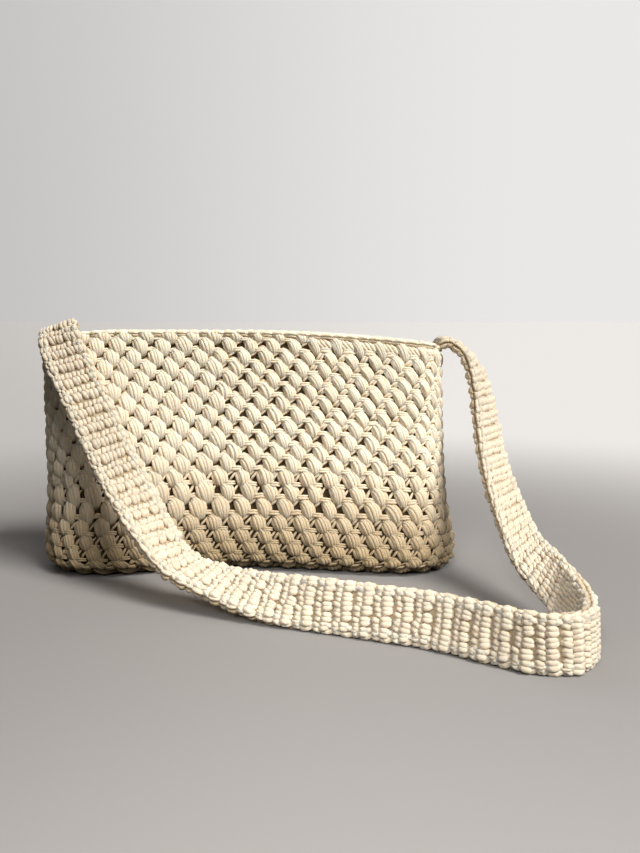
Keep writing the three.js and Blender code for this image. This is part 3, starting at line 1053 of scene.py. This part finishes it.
def base_places(wall, kinds):
    places = Places(kinds, 31)
    start = wall.base_edge - BASE_START
    for x, y, length, _ in even_rounds(wall, start, BASE_ROUND, BASE_PITCH, BASE_SHIFT):
        places.add("base", x, y, (FLAT_ROUND / length, 1, 1))
    return places


def lining_places(lining, kinds):
    places = Places(kinds, 41)
    rounds = even_rounds(lining, -LINING_START, LINING_ROUND, PUFF_PITCH, LINING_SHIFT)
    for x, y, _, count in rounds:
        places.add("lining", x, y, (FLAT_ROUND / count / PUFF_PITCH, 1, 1))
    return places


def rib_places(strap, kinds, seed):
    """The ribs of one face of the strap, with a chain of loops along both of its edges."""
    places = Places(kinds, seed)
    ribs = round(strap.length / RIB_PITCH)
    pitch = strap.length / ribs
    reach = STRAP_WIDTH / 2 - 3.9
    for i in range(ribs):
        x = (i + 0.5) * pitch - strap.length / 2
        for j in range(RIB_STITCHES):
            y = reach * (2 * j / (RIB_STITCHES - 1) - 1) + (i % 2 - 0.5) * STAGGER
            slip = places.draw.uniform(-0.5, 0.5)
            places.add("knob", x + slip, y + places.draw.uniform(-0.3, 0.3))
        for side, turn in ((1, 0.0), (-1, math.pi)):
            for step, bulk in EDGE_LOOPS:
                places.add("edge", x + step * pitch, side * (STRAP_WIDTH / 2 - 1.2),
                           (bulk, bulk, 1), turn)
    return places


def chain_places(kinds, length):
    places = Places(kinds, 51)
    count = round(length / CHAIN_PITCH)
    for k in range(count):
        share = (k / count + 0.5) % 1 - 0.5
        places.add("chain", share * FLAT_ROUND, 0, (FLAT_ROUND / length, 1, 1))
    return places


def make_body(crochet, cottons):
    """The bag, with the chain round its mouth."""
    kinds = crochet.kinds
    wall, lining = Wall(), Lining()
    rim, rim_length = rim_surface()
    names = ("puffs_back_left", "puffs_front_left", "puffs_front_right", "puffs_back_right")
    pieces = [crochet.work(name, places, wall.object, cottons["puffs"], 60 + k)
              for k, (name, places) in enumerate(zip(names, puff_places(wall, kinds)))]
    pieces += [
        crochet.work("base_rounds", base_places(wall, kinds), wall.object, cottons["puffs"], 71),
        crochet.work("inside_rounds", lining_places(lining, kinds), lining.object,
                     cottons["inside"], 72),
    ]
    for piece in pieces:
        hand_over(piece, "bag_body")
    cloth = hand_over(bag_ground(cottons["ground"]), "bag_body")
    chain = crochet.work("rim_chain", chain_places(kinds, rim_length), rim, cottons["chain"], 73,
                         size=0.03, turn=0.02)
    hand_over(chain, "rim_edging")
    for surface in (wall.object, lining.object, rim):
        bpy.data.objects.remove(surface)


def make_strap(crochet, cottons):
    strap = Strap()
    for name, side, seed in (("strap_ribs_outer", 1, 81), ("strap_ribs_inner", -1, 82)):
        surface = strap.face(name + "_surface", side)
        places = rib_places(strap, crochet.kinds, seed)
        face = crochet.work(name, places, surface, cottons["ribs"], seed, size=0.1, turn=0.2)
        hand_over(face, "strap")
        bpy.data.objects.remove(surface)
    cloth = hand_over(strap_ground(strap, cottons["band"]), "strap")


def make_bag():
    group = yarn_group()
    cottons = {name: cotton(name, group) for name in COTTONS}
    crochet = Crochet()
    make_body(crochet, cottons)
    make_strap(crochet, cottons)
    crochet.clear()


# ---------- stage ----------
AMBIENT = 0.022  # light from all round
BACKDROP = (0.58, 0.90)  # how bright the backdrop shows, at the left and at the right
BACKDROP_COLOUR = (0.92, 0.90, 0.89, 1)
NEAR_FLOOR = (0.27, 0.26, 0.254, 1)
FAR_FLOOR = (0.745, 0.735, 0.73)  # against the brightness of the backdrop
FLOOR_BOUNCE = (0.08, 0.076, 0.072, 1)  # the floor as the bag sees it, so it lights it less
FLOOR_REACH = 30000  # in millimetres, as every mesh
CAMERA_PLACE = (0.050, -0.745, 0.1833)
CAMERA_TILT = math.radians(83.7)
LENS = 42.2
SENSOR = 36


def backdrop_shade(t, heading):
    """How bright the backdrop shows in a direction: painted shade, darker towards the left. The
    far floor is darkened with it.
    """
    across = t.out("ShaderNodeSeparateXYZ", {"Vector": heading}, "X")
    return t.fade(across, -0.45, 0.25, *BACKDROP)


def plain_floor():
    """A pale floor, lighter far away, where it meets the backdrop."""
    corners = np.array([(-1, -1, 0), (1, -1, 0), (1, 1, 0), (-1, 1, 0)]) * FLOOR_REACH
    floor = linked_object("floor", new_mesh("floor", corners, [(0, 1, 2, 3)]))
    material = bpy.data.materials.new("pale_floor")
    t = shading(material)
    spot = t.out("ShaderNodeTexCoord", output="Object")
    far = t.fade(t.vector("LENGTH", spot), 0.2, 0.9)
    heading = t.vector("NORMALIZE", spot)
    shown = t.mix(far, NEAR_FLOOR, t.vector("SCALE", FAR_FLOOR, backdrop_shade(t, heading)))
    seen = t.out("ShaderNodeLightPath", output="Is Camera Ray")
    t.fill(t.tree.nodes["Principled BSDF"], {
        "Base Color": t.mix(seen, FLOOR_BOUNCE, shown), "Roughness": 1.0,
        "Specular IOR Level": 0.0})
    floor.data.materials.append(material)


def add_light(kind, name, place, colour, aim=(0, 0, 0), **settings):
    """A lamp at place, or for a sun in that direction, turned to shine on aim."""
    light = bpy.data.lights.new(name, kind)
    light.color = colour
    for key, value in settings.items():
        setattr(light, key, value)
    lamp = linked_object(name, light)
    lamp.location = place
    lamp.rotation_euler = (Vector(place) - Vector(aim)).to_track_quat("Z", "Y").to_euler()


def set_world():
    """A pale backdrop, which lights the bag less than it shows."""
    world = bpy.data.worlds.new("studio")
    t = shading(world)
    seen = t.out("ShaderNodeLightPath", output="Is Camera Ray")
    shown = backdrop_shade(t, t.out("ShaderNodeTexCoord", output="Generated"))
    t.fill(t.tree.nodes["Background"], {
        "Color": BACKDROP_COLOUR, "Strength": t.mix(seen, AMBIENT, shown, "FLOAT")})
    bpy.context.scene.world = world


def set_stage():
    scene = bpy.context.scene
    scene.view_settings.view_transform = "Standard"
    plain_floor()
    add_light("SUN", "key", (1.0, -0.85, 1.42), (1.0, 0.975, 0.94),
              energy=2.75, angle=math.radians(24))
    add_light("SUN", "fill", (0.72, -0.80, 0.8), (1.0, 0.97, 0.92),
              energy=2.14, angle=math.radians(40))
    add_light("SPOT", "strap_light", (-0.12, -0.95, 0.50), (1.0, 0.975, 0.94),
              aim=(0.07, -0.19, 0.02), energy=34, spot_size=math.radians(24), spot_blend=1,
              shadow_soft_size=0.15)
    add_light("SUN", "rim_light", (-0.5, 1.0, 1.3), (1.0, 0.98, 0.96),
              energy=0.85, angle=math.radians(50))
    set_world()
    lens = bpy.data.cameras.new("camera")
    lens.sensor_width, lens.lens = SENSOR, LENS
    lens.clip_start = 0.02
    camera = linked_object("camera", lens)
    camera.location = CAMERA_PLACE
    camera.rotation_euler = (CAMERA_TILT, 0, 0)
    scene.camera = camera


set_stage()
make_bag()

bpy.context.view_layer.update()
